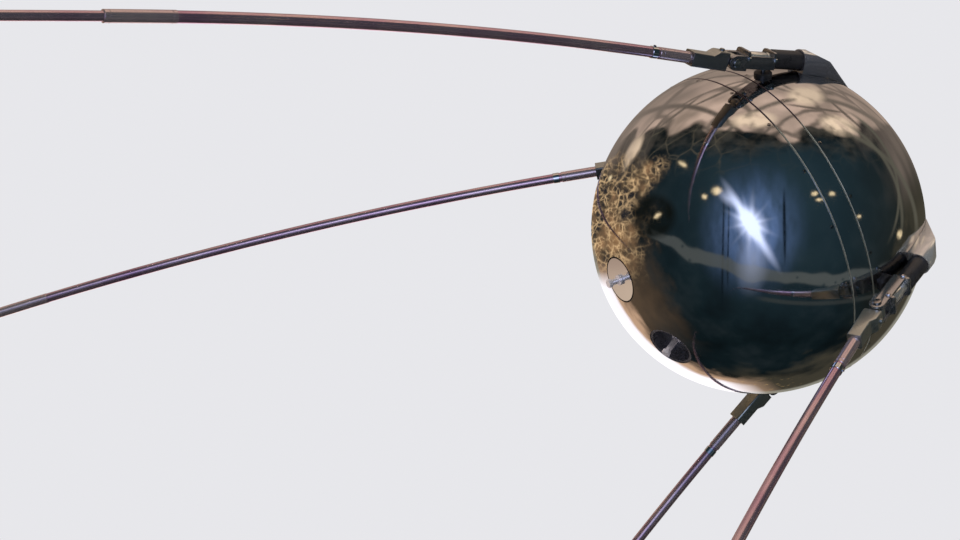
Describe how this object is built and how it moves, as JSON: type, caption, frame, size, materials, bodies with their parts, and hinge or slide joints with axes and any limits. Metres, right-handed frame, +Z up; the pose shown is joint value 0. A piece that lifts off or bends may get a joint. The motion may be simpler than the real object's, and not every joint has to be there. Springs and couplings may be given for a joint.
{
  "type": "satellite",
  "caption": "Hollow polished metal ball satellite on a belt ring, with round ports and long whip antennas on sprung folding hinges.",
  "frame": {"origin": "centre of the ball, at the mount orbit_point", "axes": "+X forward, level, in the plane of the ball's axis; +Y to the left; +Z up. The ball's axis points forward and 28.7 degrees up from +X, the attitude in which the satellite hangs, and the whips trail to -X."},
  "size_m": [3.1247, 2.3799, 2.9215],
  "materials": {
    "shell": "polished",
    "belt_ring": "polished",
    "battery_block": "matte",
    "battery_carrier": "satin",
    "rear_port_seat": "satin",
    "rear_port_lid": "polished",
    "rear_port_pin": "polished",
    "side_port_cup": "satin",
    "side_port_pin": "polished",
    "insulator": "satin",
    "shoe": "polished",
    "bracket": "polished",
    "spring_barrel": "polished",
    "feed_post": "polished",
    "hinge_pin": "polished",
    "root_block": "polished",
    "whip_tube": "polished"
  },
  "bodies": {
    "hull": {"rear_half_shell": "shell", "front_half_shell": "shell", "belt_ring": "belt_ring", "battery_block": "battery_block", "battery_carrier": "battery_carrier", "rear_port_seat": "rear_port_seat", "rear_port_lid": "rear_port_lid", "rear_port_pin": "rear_port_pin", "side_port_cup": "side_port_cup", "side_port_pin": "side_port_pin", "feed_insulators": "insulator", "shoe_upper_right": "shoe", "insulator_upper_right": "insulator", "bracket_upper_right": "bracket", "spring_barrel_upper_right": "spring_barrel", "feed_post_upper_right": "feed_post", "hinge_pin_upper_right": "hinge_pin", "shoe_upper_left": "shoe", "insulator_upper_left": "insulator", "bracket_upper_left": "bracket", "spring_barrel_upper_left": "spring_barrel", "feed_post_upper_left": "feed_post", "hinge_pin_upper_left": "hinge_pin", "shoe_lower_left": "shoe", "insulator_lower_left": "insulator", "bracket_lower_left": "bracket", "spring_barrel_lower_left": "spring_barrel", "feed_post_lower_left": "feed_post", "hinge_pin_lower_left": "hinge_pin", "shoe_lower_right": "shoe", "insulator_lower_right": "insulator", "bracket_lower_right": "bracket", "spring_barrel_lower_right": "spring_barrel", "feed_post_lower_right": "feed_post", "hinge_pin_lower_right": "hinge_pin"},
    "whip_arm_upper_right": {"root_block_upper_right": "root_block", "whip_upper_right": "whip_tube"},
    "whip_arm_upper_left": {"root_block_upper_left": "root_block", "whip_upper_left": "whip_tube"},
    "whip_arm_lower_left": {"root_block_lower_left": "root_block", "whip_lower_left": "whip_tube"},
    "whip_arm_lower_right": {"root_block_lower_right": "root_block", "whip_lower_right": "whip_tube"}
  },
  "joints": [
    {"name": "fold_upper_right", "type": "hinge", "parent": "hull", "child": "whip_arm_upper_right", "pos_m": [-0.12633, -0.24015, 0.20462], "axis": [0.3396, -0.7071, -0.6202], "range_deg": [0, 12], "stiffness_Nm_per_rad": 60, "springref_deg": -34.38},
    {"name": "fold_upper_left", "type": "hinge", "parent": "hull", "child": "whip_arm_upper_left", "pos_m": [-0.12633, 0.24015, 0.20462], "axis": [-0.3396, -0.7071, 0.6202], "range_deg": [0, 12], "stiffness_Nm_per_rad": 60, "springref_deg": -34.38},
    {"name": "fold_lower_left", "type": "hinge", "parent": "hull", "child": "whip_arm_lower_left", "pos_m": [0.10432, 0.24015, -0.21667], "axis": [-0.3396, 0.7071, 0.6202], "range_deg": [0, 12], "stiffness_Nm_per_rad": 60, "springref_deg": -34.38},
    {"name": "fold_lower_right", "type": "hinge", "parent": "hull", "child": "whip_arm_lower_right", "pos_m": [0.10432, -0.24015, -0.21667], "axis": [0.3396, 0.7071, -0.6202], "range_deg": [0, 12], "stiffness_Nm_per_rad": 60, "springref_deg": -34.38}
  ]
}
